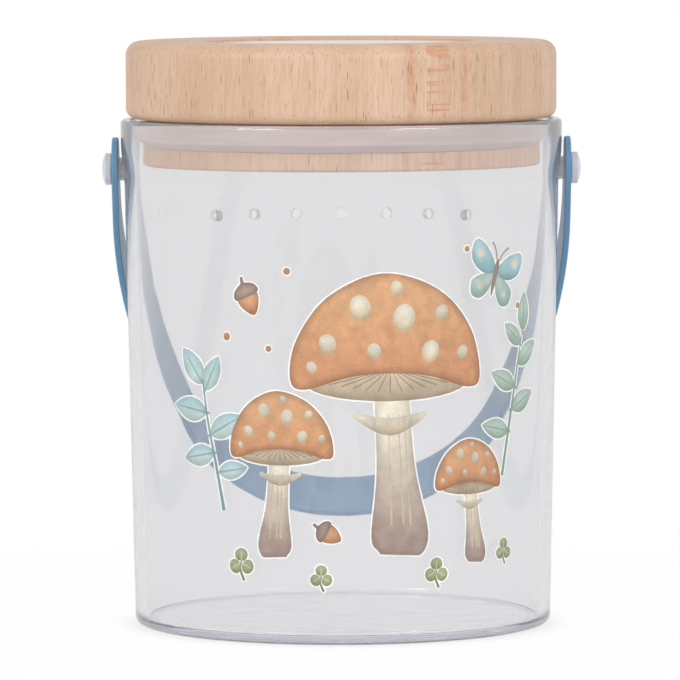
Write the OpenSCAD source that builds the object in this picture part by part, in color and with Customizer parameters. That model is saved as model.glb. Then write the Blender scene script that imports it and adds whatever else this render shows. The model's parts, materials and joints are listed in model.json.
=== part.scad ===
// Bug catcher jar: a clear moulded jar, a turned wooden lid with a magnifying lens and a rubber seal,
// and a flat carrying strap that swings on two pins. Millimetres, Z up, origin on the jar's axis at
// the surface that it stands on. The front is -Y and the strap hangs behind the jar, at +Y.

/* [Jar] */
// Height of the jar, from what it stands on to its rim
jar_h = 117; // [95:0.5:140]
// Outer radius of the wall just under the flare of the rim
jar_r = 50.2; // [44:0.02:60]
// How much smaller the wall's outer radius is at the base
jar_taper = 2.05; // [0.5:0.01:4]
// Thickness of the wall
wall_t = 2.6; // [1.8:0.1:3.2]
// Thickness of the floor
floor_t = 1.6; // [1.2:0.1:5]
// Height of the recess under the floor
foot_h = 0.4; // [0.4:0.1:2]
// Width of the flat ring that the jar stands on
foot_w = 2.6; // [1:0.1:3]
// Radius of the outer corner at the base
corner_r = 2.0; // [0.8:0.1:3]
// Radius of the corner between the wall and the floor, inside
cove_r = 1.2; // [1:0.1:6]
// Diameter of the gate mark under the floor
gate_d = 3.2; // [1.5:0.1:6]
// Height of the gate mark
gate_h = 0.3; // [0.1:0.05:0.4]

/* [Jar rim] */
// Height of the upright part of the rim
rim_h = 7.0; // [3:0.1:8]
// Height over which the wall flares out to the rim
flare_h = 7.0; // [3:0.1:9]
// How much larger the rim's outer radius is than the wall's
rim_proud = 0.8; // [0.3:0.02:1.2]
// Thickness of the rim at its top
rim_t = 1.85; // [1.5:0.05:2.5]
// Radius of the rim's outer edge
rim_edge_r = 1.0; // [0.2:0.1:1.2]
// Depth over which the mouth narrows to the wall's inside
mouth_h = 12; // [8:0.5:20]

/* [Air holes] */
// Number of air holes in the back of the wall
air_hole_count = 7; // [3:1:13]
// Diameter of an air hole
air_hole_d = 2.6; // [1.5:0.1:3.5]
// Angle from one air hole to the next
air_hole_step = 13; // [8:0.5:14]
// How far the air holes lie below the rim
air_hole_drop = 24.4; // [20:0.1:40]

/* [Pivots] */
// How far the strap's pivots lie below the rim
pivot_drop = 11.6; // [8:0.1:16]
// Diameter of the moulded boss that carries a pin
boss_d = 5.3; // [4.8:0.1:8]
// How far the boss stands out past the rim
boss_proud = 0.35; // [0.2:0.05:1.5]
// Diameter of the pin's stem, which is pressed into the boss
stem_d = 3.0; // [2:0.1:3.6]
// Wall that is left behind the bore of the stem
bore_floor = 0.55; // [0.3:0.05:1]
// Clearance all round the stem in its bore
stem_play = 0.02; // [0.01:0.01:0.05]
// Depth of the bore past the stem's end
bore_spare = 0.2; // [0.1:0.05:0.3]
// Diameter of the pin's shoulder, which the strap turns on
shoulder_d = 4.6; // [4:0.1:5.2]
// Diameter of the pin's head
head_d = 7.3; // [6.5:0.1:10]
// Thickness of the pin's head to the crown of its dome
head_t = 2.2; // [1.2:0.1:3]
// Height of the dome on the head
head_dome = 0.8; // [0.3:0.1:1.1]

/* [Carrying strap] */
// Length of the strap from its pivots to the middle of the crown
strap_l = 98.2; // [92:0.1:102]
// Width of the strap
strap_w = 13.4; // [10:0.1:15]
// Thickness of the strap
strap_t = 1.5; // [1.2:0.1:2.5]
// How far the rounded ends reach past the pivots
strap_tip = 7.5; // [6:0.1:8]
// Length of each arm's straight stretch below the pivot
strap_straight = 10; // [4:0.5:20]
// Radius of the crown's curve, as a share of half the distance between the arms
strap_crown_share = 0.8; // [0.7:0.01:0.9]
// Clearance on each face of the strap, to the boss and to the pin's head
strap_play = 0.15; // [0.1:0.05:0.4]
// Clearance all round the pin's shoulder in the strap's hole
pivot_play = 0.1; // [0.03:0.01:0.1]
// Gap between the hanging strap and the back of the jar
strap_rest_gap = 0.3; // [0.2:0.05:2]

/* [Lid] */
// Thickness of the lid above the jar's rim
lid_t = 17.8; // [12:0.1:25]
// How much smaller the lid's radius is than the rim's
lid_inset = 1.25; // [0.5:0.05:3]
// Gap between the lid's underside and the rim
lid_gap = 0.2; // [0.1:0.05:0.4]
// Radius of the lid's upper edge
lid_top_r = 3.2; // [1:0.1:5]
// Radius of the lid's lower edge
lid_foot_r = 2.4; // [1:0.1:4]
// Depth of the plug below the lid's underside
plug_h = 10.6; // [9:0.1:14]
// Clearance between the plug's lower end and the wall
plug_play = 1.55; // [1:0.05:3]
// Radius of the plug's lower edge
plug_edge_r = 0.8; // [0.3:0.1:1.5]

/* [Seal] */
// Height of the seal's seat, from the lid's underside
seal_h = 6.4; // [4:0.1:8]
// How far the seal's upper end lies below the lid's underside
seal_drop = 1.2; // [0.2:0.1:2]
// Depth of the seat in the plug
seal_seat = 1.5; // [1:0.1:2.5]
// Height of the seal's upper part, which follows the mouth, as a share of the seal's height
seal_lip_share = 0.67; // [0.1:0.01:0.8]
// How far the seal's lower edge stands proud of the plug
seal_foot = 0.3; // [0.1:0.05:0.8]
// Clearance between the seal's lip and the mouth
seal_play = 0.12; // [0.05:0.01:0.3]
// Clearance between the seal and its seat
seal_fit = 0.02; // [0.01:0.01:0.05]

/* [Magnifying lens] */
// Radius of the lens
lens_r = 31; // [24:0.5:34]
// Thickness of the lens at its edge
lens_edge_t = 3.0; // [2:0.1:5]
// Height of the lens's dome, which faces down
lens_dome = 4.5; // [2:0.1:6]
// How far the lens's flat face lies below the lid's top
lens_inset = 0.4; // [0.2:0.1:1]
// Width of the ledge that the lens sits on
lens_ledge = 2.5; // [1.5:0.1:4]
// Clearance round the lens in its recess
lens_play = 0.1; // [0.05:0.05:0.3]
// Radius of the rounded edge at the top of the recess
recess_edge_r = 0.8; // [0.3:0.1:1.2]

/* [Hidden] */
$fn = 96;
// Overrun of every cut past the face that it leaves by
over = 1;
// Steps in a quarter of a rounded edge in a turned outline
arc_steps = 8;

base_r = jar_r - jar_taper;
rim_r = jar_r + rim_proud;
rim_z = jar_h - rim_h;
flare_z = rim_z - flare_h;
mouth_z = jar_h - mouth_h;
floor_z = foot_h + floor_t;
pivot_z = jar_h - pivot_drop;
air_hole_z = jar_h - air_hole_drop;
mouth_r = rim_r - rim_t;
recess_r = base_r - corner_r - foot_w;

// Outer and inner radius of the tapered wall at a height
function wall_outer(z) = base_r + jar_taper * (z - corner_r) / (flare_z - corner_r);
function wall_inner(z) = wall_outer(z) - wall_t;
// Radius of the mouth, from the wall's inside up to the rim
function mouth_inner(z) = wall_inner(mouth_z) + (mouth_r - wall_inner(mouth_z)) * (z - mouth_z) / mouth_h;

boss_x = rim_r + boss_proud;
strap_in_x = boss_x + strap_play;
strap_mid_x = strap_in_x + strap_t / 2;
head_x = strap_in_x + strap_t + strap_play;
strap_hole_d = shoulder_d + 2 * pivot_play;
bore_depth = boss_x - wall_inner(pivot_z) - bore_floor;
stem_l = bore_depth - bore_spare;
// Each arm's gentle curve has the radius that makes it run smoothly into the crown
crown_r = strap_crown_share * strap_mid_x;
crown_drop = strap_l - crown_r - strap_straight;
side_r = (pow(strap_mid_x, 2) + pow(crown_drop, 2) - pow(crown_r, 2)) / (2 * (strap_mid_x - crown_r));
side_dx = side_r - strap_mid_x;
side_angle = atan2(crown_drop, side_dx);
// The strap hangs until the near edge of its crown's inner face is one gap from the back of the wall
hang_reach = strap_l - strap_t / 2;
function hang_angle(back_y) =
    asin(back_y / norm([hang_reach, strap_w / 2])) + atan2(strap_w / 2, hang_reach);
rough_hang = hang_angle(base_r + strap_rest_gap);
touch_z = pivot_z - hang_reach * cos(rough_hang) - strap_w / 2 * sin(rough_hang);
strap_hang = hang_angle(wall_outer(touch_z) + strap_rest_gap);

lid_r = rim_r - lid_inset;
lid_z = jar_h + lid_gap;
lid_top_z = lid_z + lid_t;
plug_z = lid_z - plug_h;
plug_r = wall_inner(plug_z) - plug_play;
seat_r = plug_r - seal_seat;
seal_z = lid_z - seal_h;
seal_top_z = lid_z - seal_drop;
lip_z = seal_top_z - seal_lip_share * (seal_top_z - seal_z);
lens_z = lid_top_z - lens_inset;
ledge_z = lens_z - lens_edge_t;
recess_wall_r = lens_r + lens_play;
window_r = lens_r - lens_ledge;

// Reach of the wedge that cuts a part out of a ring, as a share of the ring's radius
wedge_share = 2.5;

// Points along a round edge, from one angle to another
function arc(x, z, r, from, to) =
    [for (i = [0 : arc_steps]) let (a = from + (to - from) * i / arc_steps) [x + r * cos(a), z + r * sin(a)]];

// Part of a flat ring in the strap's own plane, between two angles
module ring_part(r, from, to) {
    reach = wedge_share * r;
    middle = (from + to) / 2;
    intersection() {
        difference() {
            circle(r = r + strap_t / 2);
            circle(r = r - strap_t / 2);
        }
        polygon([[0, 0], reach * [cos(from), sin(from)], reach * [cos(middle), sin(middle)],
            reach * [cos(to), sin(to)]]);
    }
}

// The strap's bent line, seen square on: two arms and a crown
module strap_outline() {
    translate([0, crown_r - strap_l])
        ring_part(crown_r, -180 + side_angle, -side_angle);
    for (side = [-1, 1])
        scale([side, 1]) {
            translate([-side_dx, -strap_straight])
                ring_part(side_r, -side_angle, 0);
            translate([strap_in_x, -strap_straight])
                square([strap_t, strap_straight + strap_tip]);
        }
}

// The strap seen from the side: a band with a round end past the pivot
module strap_side_form() {
    end_y = strap_tip - strap_w / 2;
    translate([-strap_mid_x - strap_t, end_y - strap_l - strap_tip, -strap_w / 2])
        cube([2 * (strap_mid_x + strap_t), strap_l + strap_tip, strap_w]);
    translate([0, end_y, 0])
        rotate([0, 90, 0])
            cylinder(d = strap_w, h = 2 * (strap_mid_x + strap_t), center = true);
}

module handle_strap() {
    color("steelblue")
        translate([0, 0, pivot_z])
            rotate([90 + strap_hang, 0, 0])
                difference() {
                    intersection() {
                        linear_extrude(height = strap_w, center = true)
                            strap_outline();
                        strap_side_form();
                    }
                    rotate([0, 90, 0])
                        cylinder(d = strap_hole_d, h = 2 * (strap_mid_x + strap_t), center = true);
                }
}

// Solid outline of the jar, half of it, before the inside is cut out
module jar_outside() {
    polygon(concat(
        [[0, foot_h], [recess_r, foot_h], [recess_r, 0]],
        arc(base_r - corner_r, corner_r, corner_r, -90, 0),
        [[wall_outer(flare_z), flare_z], [rim_r, rim_z]],
        arc(rim_r - rim_edge_r, jar_h - rim_edge_r, rim_edge_r, 0, 90),
        [[0, jar_h]]));
}

// The space inside the jar, half of it
module jar_inside() {
    cove_x = wall_inner(floor_z + cove_r) - cove_r;
    polygon(concat(
        [[0, floor_z]],
        arc(cove_x, floor_z + cove_r, cove_r, -90, 0),
        [[wall_inner(mouth_z), mouth_z], [mouth_r, jar_h], [mouth_r, jar_h + over], [0, jar_h + over]]));
}

module jar_body() {
    boss_root = wall_inner(pivot_z);
    color("lightcyan", 0.4)
        difference() {
            union() {
                rotate_extrude()
                    jar_outside();
                translate([0, 0, foot_h - gate_h])
                    cylinder(d = gate_d, h = gate_h + floor_t / 2);
                for (side = [-1, 1])
                    translate([side * boss_root, 0, pivot_z])
                        rotate([0, side * 90, 0])
                            cylinder(d = boss_d, h = boss_x - boss_root);
            }
            rotate_extrude()
                jar_inside();
            for (side = [-1, 1])
                translate([side * (boss_x - bore_depth), 0, pivot_z])
                    rotate([0, side * 90, 0])
                        cylinder(d = stem_d + 2 * stem_play, h = bore_depth + over);
            for (i = [0 : air_hole_count - 1])
                rotate([0, 0, (i - (air_hole_count - 1) / 2) * air_hole_step])
                    translate([0, wall_inner(air_hole_z) - over, air_hole_z])
                        rotate([-90, 0, 0])
                            cylinder(d = air_hole_d, h = wall_t + 2 * over);
        }
}

// A pin along +Z, from the end of its stem to the crown of its head
module pivot_pin() {
    head_base = stem_l + head_x - boss_x;
    head_side_t = head_t - head_dome;
    dome_r = (pow(head_d / 2, 2) + pow(head_dome, 2)) / (2 * head_dome);
    dome_angle = asin(head_d / 2 / dome_r);
    rotate_extrude()
        polygon(concat(
            [[0, 0], [stem_d / 2, 0], [stem_d / 2, stem_l], [shoulder_d / 2, stem_l],
                [shoulder_d / 2, head_base], [head_d / 2, head_base]],
            arc(0, head_base + head_side_t + head_dome - dome_r, dome_r, 90 - dome_angle, 90)));
}

module pivot_pin_left() {
    color("whitesmoke")
        translate([-(boss_x - stem_l), 0, pivot_z])
            rotate([0, -90, 0])
                pivot_pin();
}

module pivot_pin_right() {
    color("whitesmoke")
        translate([boss_x - stem_l, 0, pivot_z])
            rotate([0, 90, 0])
                pivot_pin();
}

module lid_block() {
    color("burlywood")
        rotate_extrude()
            polygon(concat(
                [[window_r, plug_z]],
                arc(plug_r - plug_edge_r, plug_z + plug_edge_r, plug_edge_r, -90, 0),
                [[plug_r, seal_z], [seat_r, seal_z], [seat_r, lid_z]],
                arc(lid_r - lid_foot_r, lid_z + lid_foot_r, lid_foot_r, -90, 0),
                arc(lid_r - lid_top_r, lid_top_z - lid_top_r, lid_top_r, 0, 90),
                arc(recess_wall_r + recess_edge_r, lid_top_z - recess_edge_r, recess_edge_r, 90, 180),
                [[recess_wall_r, ledge_z], [window_r, ledge_z]]));
}

module lid_seal() {
    color("rosybrown")
        rotate_extrude()
            polygon([[seat_r + seal_fit, seal_z], [plug_r + seal_foot, seal_z],
                [mouth_inner(lip_z) - seal_play, lip_z],
                [mouth_inner(seal_top_z) - seal_play, seal_top_z], [seat_r + seal_fit, seal_top_z]]);
}

module magnifier_lens() {
    dome_edge_r = window_r - lens_play;
    dome_r = (pow(dome_edge_r, 2) + pow(lens_dome, 2)) / (2 * lens_dome);
    dome_angle = asin(dome_edge_r / dome_r);
    color("aliceblue", 0.5)
        rotate_extrude()
            polygon(concat(
                arc(0, ledge_z - lens_dome + dome_r, dome_r, -90, -90 + dome_angle),
                [[lens_r, ledge_z], [lens_r, lens_z], [0, lens_z]]));
}

jar_body();
lid_block();
lid_seal();
magnifier_lens();
handle_strap();
pivot_pin_left();
pivot_pin_right();
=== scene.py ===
"""Looks of a bug catcher jar: a clear moulded jar with a printed wall, a turned beech lid with a seal and
a magnifying lens, and a blue carrying strap on two pins. Sizes below are in millimetres, as in part.scad."""

import json
import math

import bpy
import numpy as np
from mathutils import Matrix, Vector, noise
from mathutils.geometry import delaunay_2d_cdt

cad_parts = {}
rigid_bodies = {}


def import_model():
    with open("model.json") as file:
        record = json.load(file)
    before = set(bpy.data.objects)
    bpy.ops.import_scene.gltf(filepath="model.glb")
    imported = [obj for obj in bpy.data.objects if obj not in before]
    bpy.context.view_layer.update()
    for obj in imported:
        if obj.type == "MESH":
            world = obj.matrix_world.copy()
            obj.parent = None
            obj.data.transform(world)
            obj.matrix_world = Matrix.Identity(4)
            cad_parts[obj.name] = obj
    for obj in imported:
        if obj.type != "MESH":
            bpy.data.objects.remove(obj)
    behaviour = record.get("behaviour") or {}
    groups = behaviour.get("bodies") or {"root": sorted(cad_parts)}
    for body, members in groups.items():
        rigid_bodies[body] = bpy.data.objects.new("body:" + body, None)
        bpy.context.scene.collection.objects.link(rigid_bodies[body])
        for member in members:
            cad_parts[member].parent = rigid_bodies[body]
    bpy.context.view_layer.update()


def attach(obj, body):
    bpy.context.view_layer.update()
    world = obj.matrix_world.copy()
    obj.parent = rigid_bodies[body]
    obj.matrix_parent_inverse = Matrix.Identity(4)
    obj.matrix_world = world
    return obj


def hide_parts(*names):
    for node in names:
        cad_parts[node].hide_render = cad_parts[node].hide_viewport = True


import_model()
MM = 0.001

# Jar
JAR_H, JAR_R, BASE_R = 117.0, 50.2, 48.15
WALL_T, FLOOR_Z, FOOT_H, FOOT_W = 2.6, 2.0, 0.4, 2.6
CORNER_R, COVE_R = 2.0, 1.2
GATE_R, GATE_H = 1.6, 0.3
RIM_Z, FLARE_Z, RIM_R, RIM_EDGE_R = 110.0, 103.0, 51.0, 1.0
MOUTH_R, MOUTH_Z, MOUTH_EDGE_R = 49.15, 105.0, 0.35
FLARE_BEND_R, MOUTH_BEND_R = 50, 12
HOLE_COUNT, HOLE_R, HOLE_STEP, HOLE_Z = 7, 1.3, 13.0, 92.6
HOLE_FROM, HOLE_REACH = 45, 7
HOLE_BAND_OUT, HOLE_BAND_IN = (84, 98), (98, 86)
# Pivots
PIVOT_Z, BOSS_R, BOSS_ROOT, BOSS_X, BORE_R, BORE_DEPTH = 105.4, 2.65, 48.6, 51.35, 1.52, 3.15
STEM_R, STEM_L, SHOULDER_R = 1.5, 2.95, 2.3
HEAD_R, HEAD_X, HEAD_T, HEAD_DOME = 3.65, 53.15, 2.2, 0.8
# Strap
STRAP_L, STRAP_W, STRAP_T, STRAP_TIP, STRAP_STRAIGHT = 98.2, 13.4, 1.5, 7.5, 10.0
STRAP_X, CROWN_R, STRAP_HANG, STRAP_HOLE_R = 52.25, 41.8, 33.93, 2.4
STRAP_EDGE_R, HOLE_EDGE_SHARE, END_PLATE = 0.4, 0.6, 3.9
# Lid
LID_Z, LID_TOP, LID_R, LID_TOP_R, LID_FOOT_R = 117.2, 135.0, 49.75, 3.2, 2.4
PLUG_Z, PLUG_R, PLUG_EDGE_R, SEAT_R = 106.6, 46.12, 0.8, 44.62
SEAL_Z, SEAL_LIP_Z, SEAL_MID_Z, SEAL_TOP = 110.8, 112.52, 114.0, 116.0
SEAL_IN_R, SEAL_FOOT_R, SEAL_LIP_R, SEAL_TOP_R = 44.64, 46.42, 48.47, 48.9
LENS_R, LENS_TOP, LENS_DOME, LENS_PLAY = 31.0, 134.6, 4.5, 0.1
LEDGE_Z, WINDOW_R, WINDOW_EDGE_R, RECESS_EDGE_R = 131.6, 28.5, 0.3, 0.8
# Print
PRINT_LIFT, PRINT_T, PRINT_ARC_R, HALO_W = 0.02, 0.05, 50.0, 0.34
PRINT_BOX, GRID_U, GRID_Z = ((-46, 60), (9, 94)), 1.4, 1.25
# The last is how much white is mixed into the film's inner face: painted light standing in for the front light
# shining through the ink
DARK_EDGE_W, WASH_DEPTH, STREAK_DEPTH, UNDER_SHINE_THROUGH = 0.9, 0.06, 0.05, 0.22
WASH, STREAK = (0.33, 0.33, 7.7), (1.1, 0.28, 3.1)
# Frost, from 0, clear, to 1: the moulded bosses and bores, and the air holes
MOULD_FROST, HOLE_FROST = 0.7, 1.0
# Studio: the camera, the lamps (in metres, aimed at a height), how bright a mirror, a clear piece and the
# camera see the background, and the ground with its shades: from, to, and how bright at each
LENS, CAMERA_AT, CAMERA_DOWN, CAMERA_ROLL = 329.9, (-0.1, -1441, 169.3), 4.118, 0.2
LAMPS = (("lamp_left", -46, 7.1), ("lamp_right", 42, 6.5))
LAMP_FAR, LAMP_HIGH, LAMP_AIM, LAMP_SIZE = 1.25, 0.8, 0.08, (0.55, 0.5)
MIRRORED, SEEN_THROUGH, SEEN = 0.8, 0.79, 1.0
GROUND_SIDE, GROUND_Z = 2500, -0.25
NEAR_SHADE, WIDE_SHADE = (44, 54, 0.45, 1.0), (60, 240, 0.93, 1.0)
# Colours, 0 to 255
WHITE, CREAM, TAUPE = (246, 246, 244), (236, 229, 210), (166, 146, 137)
ORANGE, RUST, OLIVE = (214, 165, 124), (203, 146, 108), (176, 186, 146)
TEAL, SAGE = (182, 212, 217), (190, 208, 200)


def wall_outer(z):
    return BASE_R + (JAR_R - BASE_R) * (z - CORNER_R) / (FLARE_Z - CORNER_R)


def wall_inner(z):
    return wall_outer(z) - WALL_T


# ---------------------------------------------------------------- meshes

def right_of(angle):
    """The outward normal of an outline that runs at this angle, with the solid on its left."""
    return math.sin(angle), -math.cos(angle)


def outline(points):
    """Rounds the corners of an outline of (r, z, corner radius). Gives (r, z, normal in, normal out) along it."""
    stations = []
    for i, (r, z, radius) in enumerate(points):
        into = math.atan2(z - points[i - 1][1], r - points[i - 1][0]) if i else None
        on = math.atan2(points[i + 1][1] - z, points[i + 1][0] - r) if i + 1 < len(points) else into
        into = on if into is None else into
        turn = math.remainder(on - into, math.tau)
        if radius <= 0 or abs(turn) < 1e-6:
            stations.append((r, z, right_of(into), right_of(on)))
            continue
        side = math.copysign(1, turn)
        back = radius * math.tan(abs(turn) / 2)
        start = (r - back * math.cos(into), z - back * math.sin(into))
        centre = (start[0] - side * radius * math.sin(into), start[1] + side * radius * math.cos(into))
        steps = 3 if radius < 0.5 else 6 if radius < 2 else 10
        for k in range(steps + 1):
            n = right_of(into + turn * k / steps)
            stations.append((centre[0] + side * radius * n[0], centre[1] + side * radius * n[1], n, n))
    return stations


def bow(rise, reach, z, down, steps=24):
    """A shallow dome from the axis out to its edge, or, facing up, from its edge in to the axis."""
    radius = (reach ** 2 + rise ** 2) / (2 * rise)
    angles = [math.asin(reach / radius) * k / steps for k in range(steps + 1)]
    if down:
        return [(radius * math.sin(a), z + radius * (1 - math.cos(a)), (math.sin(a), -math.cos(a)),
                 (math.sin(a), -math.cos(a))) for a in angles]
    return [(radius * math.sin(a), z - radius * (1 - math.cos(a)), (math.sin(a), math.cos(a)),
             (math.sin(a), math.cos(a))) for a in reversed(angles)]


def new_piece(name, verts, faces, normals=None, place=Matrix.Identity(4)):
    """A mesh object from points in mm. normals has the true surface's normal for each corner of each face."""
    mesh = bpy.data.meshes.new(name)
    mesh.from_pydata([place @ (Vector(v) * MM) for v in verts], [], faces)
    if normals:
        turn = place.to_3x3()
        flat = [c for n in normals for c in turn @ Vector(n)]
        mesh.attributes.new("true_normal", "FLOAT_VECTOR", "CORNER").data.foreach_set("vector", flat)
    piece = bpy.data.objects.new(name, mesh)
    bpy.context.scene.collection.objects.link(piece)
    return piece


def lathe(name, stations, steps=256, place=Matrix.Identity(4)):
    """Turns an outline round the Z axis."""
    angles = [math.tau * i / steps for i in range(steps)]
    verts, rings = [], []
    for r, z, _, _ in stations:
        first = len(verts)
        if r < 1e-6:
            verts.append((0, 0, z))
            rings.append([first] * steps)
        else:
            verts += [(r * math.cos(a), r * math.sin(a), z) for a in angles]
            rings.append(list(range(first, first + steps)))
    faces, normals = [], []
    for s in range(len(stations) - 1):
        lower, upper, n_low, n_up = rings[s], rings[s + 1], stations[s][3], stations[s + 1][2]
        for i in range(steps):
            j = (i + 1) % steps
            corners = {lower[i]: (i, n_low), lower[j]: (j, n_low), upper[j]: (j, n_up), upper[i]: (i, n_up)}
            if len(corners) < 3:
                continue
            faces.append(list(corners))
            normals += [(n[0] * math.cos(angles[k]), n[0] * math.sin(angles[k]), n[1]) for k, n in corners.values()]
    return new_piece(name, verts, faces, normals, place)


def carve(piece, cutter, operation):
    """Cuts the cutter out of the piece, or joins it on, and deletes the cutter."""
    change = piece.modifiers.new("carve", "BOOLEAN")
    change.operation, change.solver, change.object = operation, "EXACT", cutter
    done = bpy.data.meshes.new_from_object(piece.evaluated_get(bpy.context.evaluated_depsgraph_get()))
    piece.modifiers.clear()
    piece.data = done
    bpy.data.objects.remove(cutter)


def frost(piece, amount):
    """Notes how satin the skin of a clear piece is, so that it stays known when the piece is joined to others."""
    skin = piece.data.attributes.new("frost", "FLOAT", "CORNER")
    skin.data.foreach_set("value", [amount] * len(piece.data.loops))


def shade(piece):
    """Shades each corner with the normal of the true surface, so that facets don't show in clear plastic."""
    mesh = piece.data
    count = len(mesh.loops)
    mesh.polygons.foreach_set("use_smooth", [True] * len(mesh.polygons))
    kept = np.empty(3 * count)
    mesh.attributes["true_normal"].data.foreach_get("vector", kept)
    kept = kept.reshape(-1, 3)
    faced = np.empty(3 * len(mesh.polygons))
    mesh.polygons.foreach_get("normal", faced)
    sides = np.empty(len(mesh.polygons), dtype=int)
    mesh.polygons.foreach_get("loop_total", sides)
    faced = np.repeat(faced.reshape(-1, 3), sides, axis=0)
    along = (kept * faced).sum(axis=1, keepdims=True)
    kept = np.where(np.abs(along) > 0.5, kept * np.sign(along), faced)
    kept /= np.linalg.norm(kept, axis=1, keepdims=True)
    mesh.attributes.remove(mesh.attributes["true_normal"])
    mesh.normals_split_custom_set(kept.tolist())


def sideways(side, x, z):
    """Places something turned round Z so that its axis points along +X or -X, from that point."""
    return Matrix.Translation((side * x * MM, 0, z * MM)) @ Matrix.Rotation(side * math.pi / 2, 4, "Y")


# ---------------------------------------------------------------- materials

class Tree:
    """A node tree, made one node at a time."""

    def __init__(self, tree):
        self.nodes, self.links = tree.nodes, tree.links

    def set(self, node, inputs):
        for name, value in inputs.items():
            if isinstance(value, bpy.types.NodeSocket):
                self.links.new(value, node.inputs[name])
            else:
                node.inputs[name].default_value = value
        return node

    def add(self, kind, inputs, **settings):
        node = self.nodes.new(kind)
        for name, value in settings.items():
            setattr(node, name, value)
        return self.set(node, inputs)

    def math(self, operation, a, b=0.0):
        return self.add("ShaderNodeMath", {0: a, 1: b}, operation=operation).outputs[0]


class Finish(Tree):
    """A node material."""

    def __init__(self, name):
        self.material = bpy.data.materials.new(name)
        self.material.use_nodes = True
        super().__init__(self.material.node_tree)
        self.bsdf, self.output = self.nodes["Principled BSDF"], self.nodes["Material Output"]

    def millimetres(self, scale=(1, 1, 1), turn=0.0):
        """The place on the object in mm, turned about Z and then measured in units of scale."""
        place = self.add("ShaderNodeTexCoord", {}).outputs["Object"]
        turned = self.add("ShaderNodeMapping", {"Vector": place, "Rotation": (0, 0, turn)}).outputs[0]
        per_unit = tuple(1 / (MM * s) for s in scale)
        return self.add("ShaderNodeMapping", {"Vector": turned, "Scale": per_unit}).outputs[0]

    def noise(self, vector, detail=2.0, roughness=0.5):
        return self.add("ShaderNodeTexNoise", {"Vector": vector, "Scale": 1.0, "Detail": detail,
                                               "Roughness": roughness}).outputs["Fac"]

    def ramp(self, value, low, high, to_low=0.0, to_high=1.0):
        return self.add("ShaderNodeMapRange", {"Value": value, "From Min": low, "From Max": high, "To Min": to_low,
                                               "To Max": to_high}, interpolation_type="SMOOTHSTEP").outputs[0]

    def mix(self, share, a, b, blend="MIX"):
        node = self.nodes.new("ShaderNodeMix")
        node.data_type, node.blend_type = "RGBA", blend
        self.set(node, {0: share, 6: a, 7: b})
        return node.outputs[2]

    def bump(self, height, strength, distance):
        return self.add("ShaderNodeBump", {"Height": height, "Strength": strength,
                                           "Distance": distance * MM}).outputs[0]


def linear(tone):
    """A tone as seen on a screen, 0 to 1, made linear."""
    return np.where(tone < 0.04045, tone / 12.92, ((tone + 0.055) / 1.055) ** 2.4)


def colour(red, green, blue):
    """A colour as seen on a screen, 0 to 255, for a node."""
    return (*linear(np.array((red, green, blue)) / 255).tolist(), 1.0)


def let_light_through(finish, tint):
    """Lamps and soft light pass straight through a clear piece, and every other ray is bent by it."""
    path = finish.add("ShaderNodeLightPath", {})
    soft = finish.math("MAXIMUM", path.outputs["Is Shadow Ray"], path.outputs["Is Diffuse Ray"])
    through = finish.add("ShaderNodeBsdfTransparent", {"Color": tint}).outputs[0]
    mixed = finish.add("ShaderNodeMixShader", {0: soft, 1: finish.bsdf.outputs[0], 2: through})
    finish.set(finish.output, {"Surface": mixed.outputs[0]})


def clear_plastic():
    """A slightly cloudy clear plastic, with a satin skin where the frost attribute says so."""
    f = Finish("clear_plastic")
    waves = f.noise(f.millimetres((9, 9, 14)), detail=1.0)
    specks = f.noise(f.millimetres((0.9, 0.9, 0.9)), detail=3.0)
    frost = f.add("ShaderNodeAttribute", {}, attribute_name="frost").outputs["Fac"]
    rough = f.math("MAXIMUM", f.ramp(specks, 0.35, 0.8, 0.015, 0.06), f.math("MULTIPLY", frost, 0.6))
    f.set(f.bsdf, {"Base Color": (0.972, 0.972, 0.98, 1), "IOR": 1.5, "Transmission Weight": 0.96,
                   "Roughness": rough, "Normal": f.bump(waves, 0.25, 0.12)})
    let_light_through(f, (0.955, 0.955, 0.96, 1))
    inside = f.add("ShaderNodeVolumeAbsorption", {"Color": (0.806, 0.79, 0.866, 1), "Density": 16.0})
    f.set(f.output, {"Volume": inside.outputs[0]})
    return f.material


def lens_acrylic():
    f = Finish("lens_acrylic")
    haze = f.noise(f.millimetres((2, 2, 2)), detail=3.0)
    f.set(f.bsdf, {"Base Color": (0.98, 0.985, 0.985, 1), "IOR": 1.49, "Transmission Weight": 1.0,
                   "Roughness": f.ramp(haze, 0.3, 0.8, 0.0, 0.03)})
    let_light_through(f, (0.95, 0.955, 0.955, 1))
    return f.material


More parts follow.
